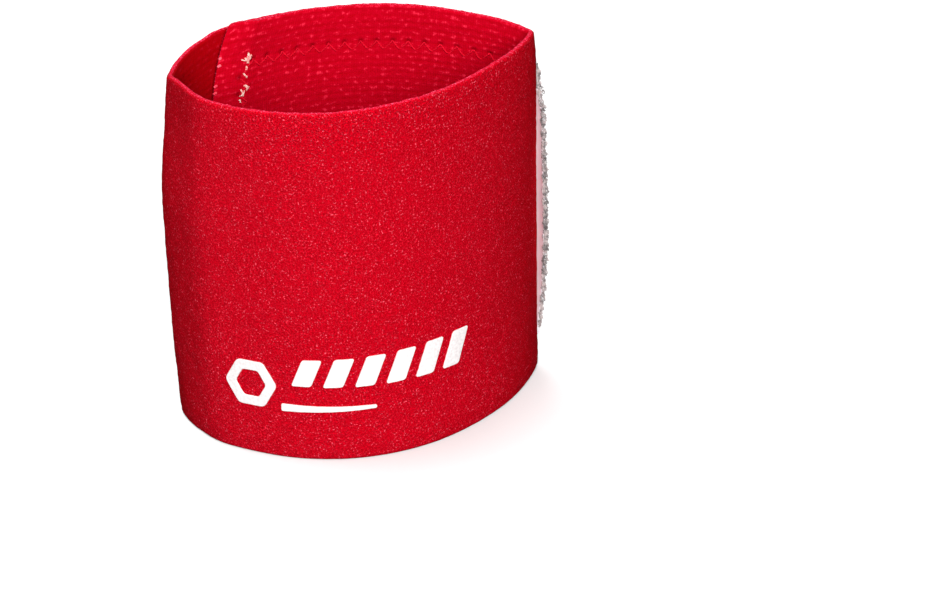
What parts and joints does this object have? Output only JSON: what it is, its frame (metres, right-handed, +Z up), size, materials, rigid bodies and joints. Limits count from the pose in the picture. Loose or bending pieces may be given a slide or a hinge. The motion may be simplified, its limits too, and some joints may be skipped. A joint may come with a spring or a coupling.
{
  "type": "wrist band",
  "caption": "Wide elastic webbing band standing on edge as a loop, closed by a sewn hook patch under an overlapping flap, with a raised printed mark.",
  "frame": {"origin": "middle of the box round the closed band, at the height of the strap's lower edge, which the band stands on", "axes": "+Z up across the strap's width, -Y towards the printed front wall, +X towards the tight fold where the hook patch's free edge stands out"},
  "size_m": [0.078, 0.053, 0.0772],
  "materials": {
    "webbing": "brushed loop pile outside, ribbed knit inside, matte",
    "tape": "smooth woven nylon tape",
    "hooks": "fine plastic hooks, slightly translucent",
    "thread": "twisted polyester sewing thread",
    "pale_thread": "twisted polyester sewing thread",
    "film": "satin heat-transfer film"
  },
  "bodies": {
    "front": {"strap_front_panel": "webbing", "print_ring": "film", "print_rule": "film", "print_bar_1": "film", "print_bar_2": "film", "print_bar_3": "film", "print_bar_4": "film", "print_bar_5": "film", "print_bar_6": "film"},
    "closing_flap": {"strap_closing_flap": "webbing"},
    "hook_end": {"strap_hook_end": "webbing", "hook_tape": "tape", "hook_field": "hooks", "hook_edge_strip": "hooks", "stitch_outside_top": "thread", "stitch_outside_bottom": "thread", "stitch_outside_cut_end": "thread", "stitch_outside_fold_end": "thread", "stitch_inside_top": "thread", "stitch_inside_bottom": "thread", "stitch_inside_cut_end": "thread", "stitch_inside_fold_end": "thread", "back_tack_upper": "pale_thread", "back_tack_lower": "pale_thread"}
  },
  "joints": [
    {"name": "flap_peel", "type": "hinge", "parent": "front", "child": "closing_flap", "pos_m": [-0.03904, 0.00269, 0], "axis": [0, 0, 1], "range_deg": [0, 150]},
    {"name": "hook_end_unfold", "type": "hinge", "parent": "front", "child": "hook_end", "pos_m": [0.03636, 0.00293, 0], "axis": [0, 0, -1], "range_deg": [0, 38]}
  ],
  "couplings": [
    {"joint": "hook_end_unfold", "follows": "flap_peel", "ratio": 0.25}
  ]
}
